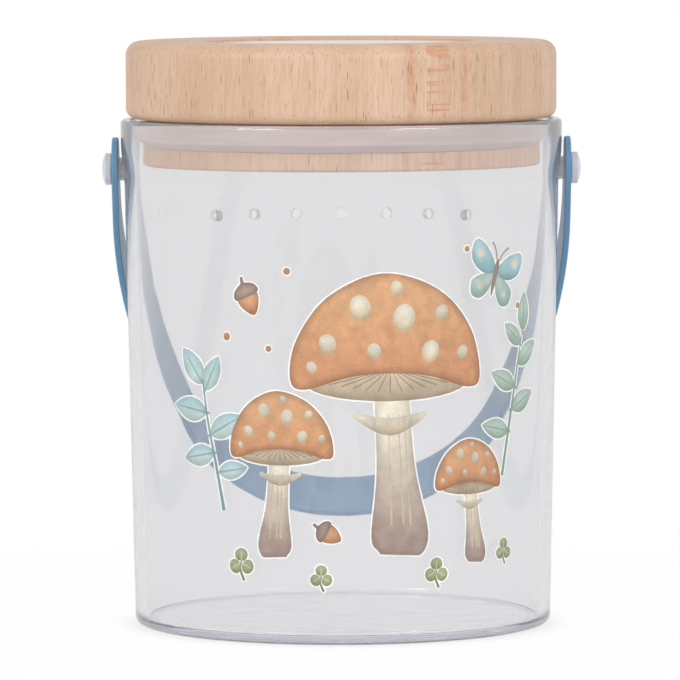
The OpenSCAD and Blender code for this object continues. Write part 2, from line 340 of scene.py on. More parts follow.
def beech():
    """Beech with short pores all round, and a band of ray flecks where the side lies along the rays."""
    f = Finish("beech")
    grain = math.radians(-26)
    fleck_reach, band_off = (2.4, 3.3), 6.6

    def marks(scale, reach, soft, channel, least):
        """Short marks, each a stretched cell of its own strength."""
        cells = f.add("ShaderNodeTexVoronoi", {"Vector": f.millimetres(scale, grain), "Scale": 1.0})
        strength = f.add("ShaderNodeSeparateColor", {"Color": cells.outputs["Color"]}).outputs[channel]
        return f.math("MULTIPLY", f.ramp(cells.outputs["Distance"], reach, reach + soft, 1.0, 0.0),
                      f.ramp(strength, least, 1.0))

    across = f.add("ShaderNodeSeparateXYZ", {0: f.millimetres((1, 1, 1), grain)}).outputs["X"]
    off_ray = f.math("ABSOLUTE", across)
    dash = marks((0.66, 0.66, 6.6), 0.15, 0.11, 0, 0.15)
    tick = marks((0.5, 0.5, 3.6), 0.16, 0.14, 1, 0.1)
    rung = f.ramp(f.noise(f.millimetres((14, 30, 1.2), grain), detail=2.0), 0.51, 0.6)
    fleck = f.math("MULTIPLY", rung, f.ramp(off_ray, *fleck_reach, 1.0, 0.0))
    band = f.ramp(f.math("ABSOLUTE", f.math("SUBTRACT", off_ray, band_off)), 0.3, 1.5, 1.0, 0.0)
    band = f.math("MULTIPLY", band, f.ramp(f.noise(f.millimetres((0.5, 0.5, 2.2), grain), 3.0, 0.7), 0.4, 0.62))
    fibre = f.noise(f.millimetres((0.42, 0.42, 7.0), grain), detail=4.0, roughness=0.65)
    line = f.noise(f.millimetres((0.9, 30, 70), grain), detail=2.0, roughness=0.5)
    ring = f.noise(f.millimetres((4.5, 28, 220), grain), detail=2.0)
    cloud = f.noise(f.millimetres((20, 20, 26), grain), detail=1.0)
    tone = f.mix(f.ramp(ring, 0.3, 0.7), colour(218, 186, 159), colour(206, 171, 142))
    for share, over in ((f.ramp(cloud, 0.35, 0.7, 0.0, 0.6), (221, 188, 166)),
                        (f.ramp(fibre, 0.38, 0.7, 0.0, 0.65), (194, 156, 126)),
                        (f.ramp(line, 0.55, 0.8, 0.0, 0.45), (193, 152, 120)),
                        (f.math("MULTIPLY", band, 0.6), (200, 136, 96)),
                        (f.math("MULTIPLY", fleck, 0.65), (202, 138, 96)),
                        (f.math("MULTIPLY", tick, 0.55), (168, 124, 94)),
                        (f.math("MULTIPLY", dash, 0.72), (146, 101, 72))):
        tone = f.mix(share, tone, colour(*over))
    height = f.math("SUBTRACT", fibre, f.math("MULTIPLY", dash, 0.8))
    f.set(f.bsdf, {"Base Color": tone, "Roughness": f.ramp(fibre, 0.3, 0.7, 0.42, 0.56),
                   "Normal": f.bump(height, 0.25, 0.06), "IOR": 1.48})
    return f.material


def seal_rubber():
    f = Finish("seal_rubber")
    swirl = f.noise(f.millimetres((14, 14, 1.6)), detail=3.0)
    dust = f.noise(f.millimetres((0.5, 0.5, 0.5)), detail=2.0)
    tone = f.mix(f.ramp(swirl, 0.3, 0.7), colour(202, 186, 181), colour(192, 175, 170))
    f.set(f.bsdf, {"Base Color": tone, "Roughness": f.ramp(dust, 0.3, 0.7, 0.38, 0.55),
                   "Subsurface Weight": 0.25, "Subsurface Radius": (0.004, 0.003, 0.003), "Subsurface Scale": 0.3,
                   "Normal": f.bump(dust, 0.15, 0.03), "IOR": 1.42})
    return f.material


def strap_plastic():
    f = Finish("strap_plastic")
    flow = f.noise(f.millimetres((10, 10, 26)), detail=2.0)
    texture = f.noise(f.millimetres((0.16, 0.16, 0.16)), detail=2.0)
    tone = f.mix(f.ramp(flow, 0.3, 0.7), colour(103, 149, 183), colour(97, 143, 177))
    f.set(f.bsdf, {"Base Color": tone, "Roughness": f.ramp(texture, 0.3, 0.7, 0.3, 0.42), "IOR": 1.49,
                   "Subsurface Weight": 0.1, "Subsurface Radius": (0.001, 0.002, 0.003), "Subsurface Scale": 0.4,
                   "Normal": f.bump(texture, 0.12, 0.02)})
    return f.material


def pin_plastic():
    f = Finish("pin_plastic")
    cloud = f.noise(f.millimetres((1.6, 1.6, 1.6)), detail=2.0)
    tone = f.mix(f.ramp(cloud, 0.3, 0.7), colour(226, 225, 229), colour(219, 218, 223))
    f.set(f.bsdf, {"Base Color": tone, "IOR": 1.49, "Transmission Weight": 0.12,
                   "Subsurface Weight": 0.25, "Subsurface Radius": (0.002, 0.002, 0.002), "Subsurface Scale": 0.4,
                   "Roughness": f.ramp(cloud, 0.3, 0.7, 0.28, 0.36)})
    return f.material


def print_ink():
    """The printed film: each corner's colour, with the grain and blots of water colour."""
    f = Finish("print_ink")
    paint = f.add("ShaderNodeVertexColor", {}, layer_name="paint").outputs["Color"]
    grain = f.noise(f.millimetres((0.32, 0.32, 0.32)), detail=3.0, roughness=0.7)
    blot = f.noise(f.millimetres((3.2, 3.2, 3.2)), detail=3.0, roughness=0.6)
    tone = f.mix(f.ramp(grain, 0.25, 0.75, 0.0, 0.28), paint, colour(255, 252, 246), "MULTIPLY")
    shade_by = f.ramp(grain, 0.3, 0.7, 0.9, 1.06)
    shade_by = f.math("MULTIPLY", shade_by, f.ramp(blot, 0.3, 0.7, 0.92, 1.06))
    scaled = f.add("ShaderNodeVectorMath", {0: tone, "Scale": shade_by}, operation="SCALE").outputs[0]
    f.set(f.bsdf, {"Base Color": scaled, "Roughness": f.ramp(grain, 0.3, 0.7, 0.35, 0.5), "IOR": 1.45})
    return f.material


def dress(piece, finish, slot, body, *nodes):
    """Gives a piece its material, the body that it rides on and the solids that it stands for. The slot argument is
    not used.
    """
    piece.data.materials.clear()
    piece.data.materials.append(finish)
    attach(piece, body)
    if nodes:
        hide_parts(*nodes)


# ---------------------------------------------------------------- camera, lights and floor

def studio():
    scene = bpy.context.scene
    scene.view_settings.view_transform = "Standard"
    light_paths = scene.cycles
    light_paths.max_bounces, light_paths.glossy_bounces, light_paths.transmission_bounces = 20, 14, 16

    camera = bpy.data.objects.new("camera", bpy.data.cameras.new("camera"))
    camera.data.sensor_width, camera.data.lens = 36.0, LENS
    camera.data.clip_start, camera.data.clip_end = 0.05, 30.0
    camera.location = [c * MM for c in CAMERA_AT]
    camera.rotation_euler = (math.radians(90 - CAMERA_DOWN), math.radians(CAMERA_ROLL), 0)
    scene.collection.objects.link(camera)
    scene.camera = camera

    for name, azimuth, power in LAMPS:
        lamp = bpy.data.objects.new(name, bpy.data.lights.new(name, "AREA"))
        lamp.data.shape, lamp.data.energy = "RECTANGLE", power
        lamp.data.size, lamp.data.size_y = LAMP_SIZE
        a = math.radians(azimuth)
        lamp.location = (LAMP_FAR * math.sin(a), -LAMP_FAR * math.cos(a), LAMP_HIGH)
        lamp.rotation_euler = (Vector((0, 0, LAMP_AIM)) - lamp.location).to_track_quat("-Z", "Y").to_euler()
        scene.collection.objects.link(lamp)

    world = bpy.data.worlds.new("studio")
    world.use_nodes = True
    scene.world = world
    tree = Tree(world.node_tree)
    way = tree.add("ShaderNodeTexCoord", {}).outputs["Generated"]
    front = tree.add("ShaderNodeSeparateXYZ", {0: way}).outputs["Y"]
    level = tree.add("ShaderNodeMapRange", {"Value": front, "From Min": -0.75, "From Max": 0.25, "To Min": 0.5,
                                            "To Max": 0.72}).outputs[0]
    path = tree.add("ShaderNodeLightPath", {})
    for ray, least in (("Is Glossy Ray", MIRRORED), ("Is Transmission Ray", SEEN_THROUGH), ("Is Camera Ray", SEEN)):
        level = tree.math("MAXIMUM", tree.math("MULTIPLY", path.outputs[ray], least), level)
    tree.set(tree.nodes["Background"], {"Color": (1, 1, 1, 1), "Strength": level})

    corners = [(x * GROUND_SIDE, y * GROUND_SIDE, GROUND_Z) for x, y in ((-1, -1), (1, -1), (1, 1), (-1, 1))]
    floor = new_piece("floor", corners, [(0, 1, 2, 3)])
    f = Finish("floor")
    f.set(f.bsdf, {"Base Color": (0.95, 0.95, 0.95, 1), "Roughness": 0.7})
    away = f.add("ShaderNodeVectorMath", {0: f.millimetres()}, operation="LENGTH").outputs["Value"]
    lit = f.math("MULTIPLY", f.ramp(away, *NEAR_SHADE), f.ramp(away, *WIDE_SHADE))
    path = f.add("ShaderNodeLightPath", {}).outputs
    bent = f.math("MAXIMUM", path["Is Glossy Ray"], path["Is Transmission Ray"])
    strength = f.math("MAXIMUM", path["Is Camera Ray"], f.math("MULTIPLY", bent, SEEN_THROUGH))
    white = f.add("ShaderNodeEmission", {"Color": (1, 1, 1, 1), "Strength": strength}).outputs[0]
    share = f.math("MULTIPLY", f.math("MAXIMUM", path["Is Camera Ray"], bent), lit)
    mixed = f.add("ShaderNodeMixShader", {0: share, 1: f.bsdf.outputs[0], 2: white})
    f.set(f.output, {"Surface": mixed.outputs[0]})
    floor.data.materials.append(f.material)


def spare_from_lamps(piece):
    """Lets a flat clear piece mirror the soft light round it, and not the lamps as hard white shapes."""
    spared = bpy.data.collections.new("spared_from_lamps")
    spared.objects.link(piece)
    spared.collection_objects[0].light_linking.link_state = "EXCLUDE"
    for lamp in bpy.context.scene.objects:
        if lamp.type == "LIGHT":
            lamp.light_linking.receiver_collection = spared


# ---------------------------------------------------------------- jar

def rod(radius, length, edge_r=0):
    """The outline of a plain round rod that starts at its foot."""
    return outline([(0, 0, 0), (radius, 0, 0), (radius, length, edge_r), (0, length, 0)])


def make_jar(finish):
    slope = (JAR_R - BASE_R) / (FLARE_Z - CORNER_R)
    foot_in = BASE_R - CORNER_R - FOOT_W
    # A band of small faces round the air holes, so that cutting these leaves the rest of the wall as it is
    outside = [(wall_outer(z), z, 0) for z in HOLE_BAND_OUT]
    inner = [(wall_inner(z), z, 0) for z in HOLE_BAND_IN]
    stations = outline([
        (0, FOOT_H - GATE_H, 0), (GATE_R, FOOT_H - GATE_H, 0.12), (GATE_R, FOOT_H, 0.1),
        (foot_in, FOOT_H, 0.2), (foot_in, 0, 0.15), (BASE_R - slope * CORNER_R, 0, CORNER_R),
        *outside, (wall_outer(FLARE_Z), FLARE_Z, FLARE_BEND_R), (RIM_R, RIM_Z, FLARE_BEND_R),
        (RIM_R, JAR_H, RIM_EDGE_R), (MOUTH_R, JAR_H, MOUTH_EDGE_R), (wall_inner(MOUTH_Z), MOUTH_Z, MOUTH_BEND_R),
        *inner, (wall_inner(FLOOR_Z), FLOOR_Z, COVE_R), (0, FLOOR_Z, 0)])
    jar = lathe("jar_clear", stations, steps=288)
    frost(jar, 0.0)
    for side in (-1, 1):
        boss = lathe("boss", rod(BOSS_R, BOSS_X - BOSS_ROOT, 0.2), 64, sideways(side, BOSS_ROOT, PIVOT_Z))
        frost(boss, MOULD_FROST)
        carve(jar, boss, "UNION")
        bore = lathe("bore", rod(BORE_R, BORE_DEPTH + 1), 64, sideways(side, BOSS_X - BORE_DEPTH, PIVOT_Z))
        frost(bore, MOULD_FROST)
        carve(jar, bore, "DIFFERENCE")
    for i in range(HOLE_COUNT):
        turn = Matrix.Rotation(math.radians((i - (HOLE_COUNT - 1) / 2) * HOLE_STEP), 4, "Z")
        start = Matrix.Translation((0, HOLE_FROM * MM, HOLE_Z * MM))
        hole = lathe("hole", rod(HOLE_R, HOLE_REACH), 48, turn @ start @ Matrix.Rotation(-math.pi / 2, 4, "X"))
        frost(hole, HOLE_FROST)
        carve(jar, hole, "DIFFERENCE")
    shade(jar)
    dress(jar, finish, "clear_plastic", "jar", "jar_body")


def make_pins(finish):
    head = HEAD_X - BOSS_X + STEM_L
    stations = outline([
        (0, 0, 0), (STEM_R, 0, 0.2), (STEM_R, STEM_L, 0), (SHOULDER_R, STEM_L, 0.1), (SHOULDER_R, head, 0),
        (HEAD_R, head, 0.25), (HEAD_R, head + HEAD_T - HEAD_DOME, 0.0)])
    stations += bow(HEAD_DOME, HEAD_R - 0.02, head + HEAD_T, False, 12)
    for side, name in ((-1, "left"), (1, "right")):
        pin = lathe("pin_" + name, stations, steps=96, place=sideways(side, BOSS_X - STEM_L, PIVOT_Z))
        shade(pin)
        dress(pin, finish, "pin_plastic", "jar", "pivot_pin_" + name)


# ---------------------------------------------------------------- lid

def make_lid(wood, rubber, acrylic):
    block = lathe("lid_beech", outline([
        (WINDOW_R, PLUG_Z, WINDOW_EDGE_R), (PLUG_R, PLUG_Z, PLUG_EDGE_R), (PLUG_R, SEAL_Z, 0.15),
        (SEAT_R, SEAL_Z, 0.1), (SEAT_R, LID_Z, 0.1), (LID_R, LID_Z, LID_FOOT_R), (LID_R, LID_TOP, LID_TOP_R),
        (LENS_R + LENS_PLAY, LID_TOP, RECESS_EDGE_R), (LENS_R + LENS_PLAY, LEDGE_Z, 0.1),
        (WINDOW_R, LEDGE_Z, WINDOW_EDGE_R), (WINDOW_R, (LEDGE_Z + PLUG_Z) / 2, 0),
        (WINDOW_R, PLUG_Z + WINDOW_EDGE_R, 0)]))
    shade(block)
    dress(block, wood, "beech", "lid", "lid_block")

    seal = lathe("seal_ring", outline([
        (SEAL_IN_R, SEAL_MID_Z, 0), (SEAL_IN_R, SEAL_Z, 0.2), (SEAL_FOOT_R, SEAL_Z, 0.3),
        (SEAL_LIP_R, SEAL_LIP_Z, 0.8), (SEAL_TOP_R, SEAL_TOP, 0.15), (SEAL_IN_R, SEAL_TOP, 0.1),
        (SEAL_IN_R, SEAL_MID_Z, 0)]))
    shade(seal)
    dress(seal, rubber, "seal_rubber", "lid", "lid_seal")

    edge = outline([(WINDOW_R - LENS_PLAY, LEDGE_Z, 0), (LENS_R, LEDGE_Z, 0.2), (LENS_R, LENS_TOP, 0.3),
                    (0, LENS_TOP, 0)])
    lens = lathe("lens", bow(LENS_DOME, WINDOW_R - LENS_PLAY, LEDGE_Z - LENS_DOME, True) + edge[1:], steps=192)
    shade(lens)
    dress(lens, acrylic, "lens_acrylic", "lid", "magnifier_lens")
    spare_from_lamps(lens)


# ---------------------------------------------------------------- strap

def strap_path(step=2.0):
    """Points along the strap's middle line, from pivot to pivot: distance, x, y and the way it runs."""
    drop = STRAP_L - CROWN_R - STRAP_STRAIGHT
    side_r = (STRAP_X ** 2 + drop ** 2 - CROWN_R ** 2) / (2 * (STRAP_X - CROWN_R))
    bend = math.atan2(drop, side_r - STRAP_X)
    legs = [(None, STRAP_STRAIGHT), (side_r, side_r * bend), (CROWN_R, CROWN_R * (math.pi - 2 * bend)),
            (side_r, side_r * bend), (None, STRAP_STRAIGHT)]
    s, x, y, way = 0.0, STRAP_X, 0.0, -math.pi / 2
    rows = [(s, x, y, way)]
    for radius, length in legs:
        count = max(1, round(length / step))
        for _ in range(count):
            d = length / count
            turn = 0 if radius is None else -d / radius
            chord = d if radius is None else 2 * radius * math.sin(-turn / 2)
            x += chord * math.cos(way + turn / 2)
            y += chord * math.sin(way + turn / 2)
            way += turn
            s += d
            rows.append((s, x, y, way))
    return rows


def make_strap(finish):
    rows = strap_path()
    total = rows[-1][0]
    half, centre_s = STRAP_W / 2, STRAP_TIP - STRAP_W / 2
    hole_steps, tip_steps, edge_steps = 40, 24, 4
    sides = [s for s, _, _, _ in rows if END_PLATE < s < total - END_PLATE]
    place = Matrix.Translation((0, 0, PIVOT_Z * MM)) @ Matrix.Rotation(math.radians(90 + STRAP_HANG), 4, "X")

    def at(s, across, out):
        """The point at a distance along the strap, across it and out from its middle, and its directions."""
        held = min(max(s, 0.0), total)
        k = max(i for i in range(len(rows)) if rows[i][0] <= held + 1e-6)
        _, x, y, way = rows[k]
        spare = s - rows[k][0]
        along = Vector((math.cos(way), math.sin(way), 0))
        normal = Vector((-along.y, along.x, 0))
        return Vector((x, y, across)) + along * spare + normal * out, along, normal

    def rim(inset):
        """The strap's flat outline, drawn in by inset: (s, across, normal s, normal across)."""
        h = half - inset
        tip = [(-centre_s - h * math.cos(a), h * math.sin(a), -math.cos(a), math.sin(a))
               for a in (math.pi * (k / tip_steps - 0.5) for k in range(tip_steps + 1))]
        one_side = [(s, h, 0, 1) for s in sides]
        far_tip = [(total - s, -w, -ns, -nw) for s, w, ns, nw in tip]
        other = [(s, -w, 0, -1) for s, w, _, _ in reversed(one_side)]
        return tip + one_side + far_tip + other

    def ring(inset, middle):
        r = STRAP_HOLE_R + inset
        return [(middle + r * math.cos(a), r * math.sin(a), -math.cos(a), -math.sin(a))
                for a in (-math.tau * k / hole_steps for k in range(hole_steps))]

    # Each level is one line round the edge: inset, out from the middle, and the normal's shares out and sideways
    levels = []
    for k in range(edge_steps + 1):
        a = math.pi / 2 * k / edge_steps
        inset, rise = STRAP_EDGE_R * (1 - math.sin(a)), STRAP_EDGE_R * (1 - math.cos(a))
        levels.append((inset, -STRAP_T / 2 + rise, -math.cos(a), math.sin(a)))
    levels += [(e, -out, -up, side) for e, out, up, side in reversed(levels)]
    verts, faces, normals = [], [], []

    def wall(loop_at, small=False):
        """Skins one closed loop through all levels and gives the first index of its lowest and highest copy."""
        starts = []
        for inset, out, up, side in levels:
            inset = inset * HOLE_EDGE_SHARE if small else inset
            starts.append(len(verts))
            verts.extend(at(s, w, out)[0] for s, w, _, _ in loop_at(inset))
        shape = loop_at(0)
        size = len(shape)
        for k in range(len(levels) - 1):
            for i in range(size):
                j = (i + 1) % size
                faces.append([starts[k] + i, starts[k] + j, starts[k + 1] + j, starts[k + 1] + i])
                for level, m in ((k, i), (k, j), (k + 1, j), (k + 1, i)):
                    s, w, ns, nw = shape[m]
                    _, along, normal = at(s, w, 0)
                    n = (along * ns + Vector((0, 0, nw))) * levels[level][3] + normal * levels[level][2]
                    normals.append(tuple(n))
        return starts[0], starts[-1], size

    low, high, size = wall(rim)
    holes = [wall(lambda e, m=m: ring(e, m), small=True) for m in (0.0, total)]
    shape = rim(STRAP_EDGE_R)
    side_count, first = len(sides), tip_steps + 1

    def cap(indices, top):
        order = indices if top else indices[::-1]
        faces.append([(high if top else low) + i for i in order])
        for i in order:
            _, _, normal = at(shape[i][0], 0, 0)
            normals.append(tuple(normal if top else -normal))

    for top in (False, True):
        for k in range(side_count - 1):
            cap([first + k, first + k + 1, size - 2 - k, size - 1 - k], top)
    # Each end is a flat plate with the pivot's hole in it
    for end, middle in enumerate((0.0, total)):
        if end == 0:
            loop = [size - 1] + list(range(0, first + 1))
        else:
            start = first + side_count - 1
            loop = list(range(start, start + tip_steps + 3))
        flat = [(shape[i][0] - middle, shape[i][1]) for i in loop]
        hole = [(s - middle, w) for s, w, _, _ in ring(STRAP_EDGE_R * HOLE_EDGE_SHARE, middle)]
        count, inner = len(flat), len(hole)
        edges = [(i, (i + 1) % count) for i in range(count)]
        edges += [(count + i, count + (i + 1) % inner) for i in range(inner)]
        result = delaunay_2d_cdt([Vector(p) for p in flat + hole], edges, [], 0, 1e-7, True)
        source = [ids[0] for ids in result[3]]
        for tri in result[2]:
            if all(source[v] >= count for v in tri):
                continue
            for top in (False, True):
                ids = [source[v] for v in tri]
                ids = [(loop[i] + (high if top else low)) if i < count else
                       (holes[end][1 if top else 0] + i - count) for i in ids]
                _, _, normal = at(middle, 0, 0)
                faces.append(ids[::-1] if top else ids)
                normals.extend([tuple(normal if top else -normal)] * 3)
    strap = new_piece("strap", [tuple(v) for v in verts], faces, normals, place)
    shade(strap)
    dress(strap, finish, "strap_plastic", "handle", "handle_strap")


# ---------------------------------------------------------------- printed picture

class Picture:
    """Shapes laid over one another on the jar's front: u is mm round the wall from the middle, z is mm up."""

    def __init__(self):
        self.shapes = []

    def add(self, points, tone, low_tone=None, edge=0.12, halo=True, streak=0.0):
        """A closed outline with a colour, a second colour towards its foot and darker edges."""
        self.shapes.append({"line": np.array(points), "tone": tone, "low": low_tone or tone, "edge": edge,
                            "halo": halo, "streak": streak})

    def blob(self, u, z, rx, rz, tone, turn=0.0, count=28, **rest):
        c, s = math.cos(math.radians(turn)), math.sin(math.radians(turn))
        ring = [(rx * math.cos(math.tau * k / count), rz * math.sin(math.tau * k / count)) for k in range(count)]
        self.add([(u + x * c - y * s, z + x * s + y * c) for x, y in ring], tone, **rest)

    def curve(self, points, tone, steps=6, **rest):
        """A smooth closed outline through the points."""
        self.add(smooth(points, steps, True), tone, **rest)

    def stroke(self, points, widths, tone, **rest):
        """A brush stroke along a smooth line, with a width at each point."""
        line = smooth([(u, z, w) for (u, z), w in zip(points, widths)], 6, False)
        left, right = [], []
        for k, (u, z, w) in enumerate(line):
            a, b = line[max(k - 1, 0)], line[min(k + 1, len(line) - 1)]
            along = math.atan2(b[1] - a[1], b[0] - a[0])
            left.append((u - w / 2 * math.sin(along), z + w / 2 * math.cos(along)))
            right.append((u + w / 2 * math.sin(along), z - w / 2 * math.cos(along)))
        self.add(right + left[::-1], tone, **rest)

    def leaf(self, u, z, length, width, turn, tone, low_tone=None):
        """A leaf from its stalk end, with a midrib and side veins."""
        c, s = math.cos(math.radians(turn)), math.sin(math.radians(turn))
        ts = [k / 14 for k in range(15)]
        half = [width / 2 * math.sin(math.pi * t ** 0.85) ** 0.8 for t in ts]
        side = [(length * t, h) for t, h in zip(ts, half)]
        side += [(x, -h) for x, h in side[-2:0:-1]]
        self.add([(u + x * c - y * s, z + x * s + y * c) for x, y in side][::-1], tone, low_tone)
        vein = tuple(v * 0.8 for v in tone)
        self.stroke([(u - 0.8 * c, z - 0.8 * s), (u + 0.5 * length * c, z + 0.5 * length * s),
                     (u + 0.92 * length * c, z + 0.92 * length * s)], (0.55, 0.4, 0.2), vein, edge=0, halo=False)

    def toadstool(self, u, z, cap_w, cap_h, foot_z, stem_w, lean=0.0):
        """A capped toadstool: the cap's middle is at (u, z) and its stem ends at foot_z."""
        foot_u, tall, w, h = u + lean, z - foot_z, cap_w / 2, cap_h
        self.stroke([(foot_u - lean * 0.02, foot_z - 0.6), (foot_u, foot_z + tall * 0.1),
                     (u + lean * 0.55, foot_z + tall * 0.5), (u, z + h * 0.1)],
                    (stem_w, stem_w * 1.45, stem_w * 0.95, stem_w * 0.85), CREAM, low_tone=TAUPE, streak=0.5)
        for k in (-0.22, 0.08, 0.26):
            self.stroke([(foot_u + k * stem_w, foot_z + tall * 0.16),
                         (u + lean * 0.5 + k * stem_w * 0.8, z - tall * 0.2)],
                        (0.5, 0.25), (196, 184, 158), edge=0, halo=False)
        self.blob(u, z - h * 0.03, cap_w * 0.42, h * 0.17, (208, 192, 165), low_tone=(176, 158, 138))
        for k in range(-6, 7):
            self.stroke([(u + k * 0.01 * cap_w, z + h * 0.08),
                         (u + k * 0.061 * cap_w, z - h * 0.13 + abs(k) * h * 0.018)],
                        (0.2, 0.35), (160, 140, 122), edge=0, halo=False)
        self.stroke([(u - stem_w * 0.9, z - tall * 0.2), (u, z - tall * 0.27), (u + stem_w * 0.9, z - tall * 0.2)],
                    (stem_w * 0.12, stem_w * 0.42, stem_w * 0.12), (232, 224, 204), low_tone=(190, 174, 150),
                    halo=False)
        self.curve([(u + x * w, z + y * h) for x, y in (
            (-1, 0.02), (-0.93, 0.38), (-0.62, 0.78), (-0.08, 1), (0.5, 0.84), (0.88, 0.46), (1, 0.02),
            (0.86, -0.09), (0.4, 0.03), (0, 0.06), (-0.4, 0.03), (-0.86, -0.09))],
            ORANGE, low_tone=RUST, edge=0.2, streak=1.0)
        for x, y, size in ((-0.62, 0.34, 1.0), (-0.3, 0.68, 1.25), (-0.16, 0.27, 0.8), (0.14, 0.58, 1.35),
                           (0.42, 0.26, 1.1), (0.54, 0.62, 0.8), (0.78, 0.24, 0.7), (-0.78, 0.12, 0.6),
                           (0.06, 0.86, 0.7)):
            self.blob(u + x * w, z + y * h, 0.085 * w * size, 0.085 * h * size * 1.15, CREAM, turn=-35 * x,
                      low_tone=(208, 190, 160), halo=False, count=18)

    def clover(self, u, z, size):
        """Three round leaves on a stalk."""
        self.stroke([(u + 0.25 * size, z - 1.5 * size), (u - 0.1 * size, z - 0.6 * size), (u, z + 0.1 * size)],
                    (size * 0.26, size * 0.2, size * 0.16), (138, 150, 110))
        for turn in (-118, 0, 118):
            a = math.radians(90 + turn)
            self.blob(u + 0.68 * size * math.cos(a), z + 0.68 * size * math.sin(a), 0.62 * size, 0.55 * size, OLIVE,
                      turn=turn, low_tone=(146, 158, 116))
        for turn in (-118, 0, 118):
            a = math.radians(90 + turn)
            self.stroke([(u + 0.1 * size * math.cos(a), z + 0.1 * size * math.sin(a)),
                         (u + 1.0 * size * math.cos(a), z + 1.0 * size * math.sin(a))],
                        (0.3, 0.15), (196, 202, 172), edge=0, halo=False)

    def acorn(self, u, z, size, turn):
        place = placed(u, z, size, turn)
        self.stroke(place([(0, 0.9), (0.12, 1.5)]), (size * 0.34, size * 0.22), TAUPE)
        self.curve(place([(-0.78, 0.2), (-0.68, -0.6), (0, -1.35), (0.68, -0.6), (0.78, 0.2), (0, 0.35)]), ORANGE,
                   low_tone=RUST, edge=0.2, streak=0.6)
        self.curve(place([(-0.95, 0.12), (-0.8, 0.72), (0, 1.05), (0.8, 0.72), (0.95, 0.12), (0, 0.0)]),
                   (168, 146, 132), low_tone=TAUPE, edge=0.2)

    def moth(self, u, z, size, turn):
        """Two pairs of wings, each with a spot, two feelers and a body."""
        place = placed(u, z, size, turn)
        hind = [(0.05, -0.05), (0.6, -0.12), (1.15, -0.5), (1.05, -1.05), (0.6, -1.15), (0.2, -0.7)]
        fore = [(0.04, 0.1), (0.45, 0.75), (1.2, 1.15), (1.5, 0.9), (1.35, 0.25), (0.7, -0.1)]
        for side in (-1, 1):
            for wing, tone, low_tone in ((hind, SAGE, (150, 182, 176)), (fore, TEAL, (140, 180, 186))):
                self.curve(place([(side * x, y) for x, y in wing][::side]), tone, low_tone=low_tone)
            for x, y, rx, rz in ((1.0, 0.62, 0.2, 0.17), (0.68, -0.68, 0.15, 0.13)):
                self.blob(*place([(side * x, y)])[0], size * rx, size * rz, CREAM, halo=False, count=16)
            self.stroke(place([(side * 0.05, 0.55), (side * 0.25, 0.95), (side * 0.5, 1.2)]),
                        (size * 0.07, size * 0.06, size * 0.09), TAUPE, edge=0, halo=False)
        self.curve(place([(-0.1, 0.45), (0, 0.62), (0.1, 0.45), (0.12, -0.2), (0, -0.95), (-0.12, -0.2)]), TAUPE)


def placed(u, z, size, turn):
    """A function that sizes, turns and moves points to that place in the picture."""
    c, s = math.cos(math.radians(turn)), math.sin(math.radians(turn))

    def place(points):
        return [(u + size * (x * c - y * s), z + size * (x * s + y * c)) for x, y in points]
    return place


def smooth(points, steps, closed):
    """A smooth line through the points."""
    pts = [np.array(p, dtype=float) for p in points]
    n, line = len(pts), []
    for i in range(n if closed else n - 1):
        if closed:
            a, b, c, d = (pts[(i + k) % n] for k in (-1, 0, 1, 2))
        else:
            a, b, c, d = (pts[min(max(i + k, 0), n - 1)] for k in (-1, 0, 1, 2))
        for k in range(steps):
            s = k / steps
            line.append(tuple(0.5 * (2 * b + (c - a) * s + (2 * a - 5 * b + 4 * c - d) * s * s
                                     + (3 * b - a - 3 * c + d) * s ** 3)))
    if not closed:
        line.append(tuple(pts[-1]))
    return line


def inside(line, points):
    """Which points lie inside a closed outline."""
    found = np.zeros(len(points), dtype=bool)
    for (x0, y0), (x1, y1) in zip(line, np.roll(line, -1, axis=0)):
        if y0 == y1:
            continue
        cross = (y0 > points[:, 1]) != (y1 > points[:, 1])
        found ^= cross & (points[:, 0] < (x1 - x0) * (points[:, 1] - y0) / (y1 - y0) + x0)
    return found


def from_edge(line, points):
    """Each point's distance from an outline."""
    near = np.full(len(points), 1e9)
    for a, b in zip(line, np.roll(line, -1, axis=0)):
        side = b - a
        t = np.clip(((points - a) @ side) / max(side @ side, 1e-9), 0, 1)[:, None]
        near = np.minimum(near, np.linalg.norm(points - a - t * side, axis=1))
    return near


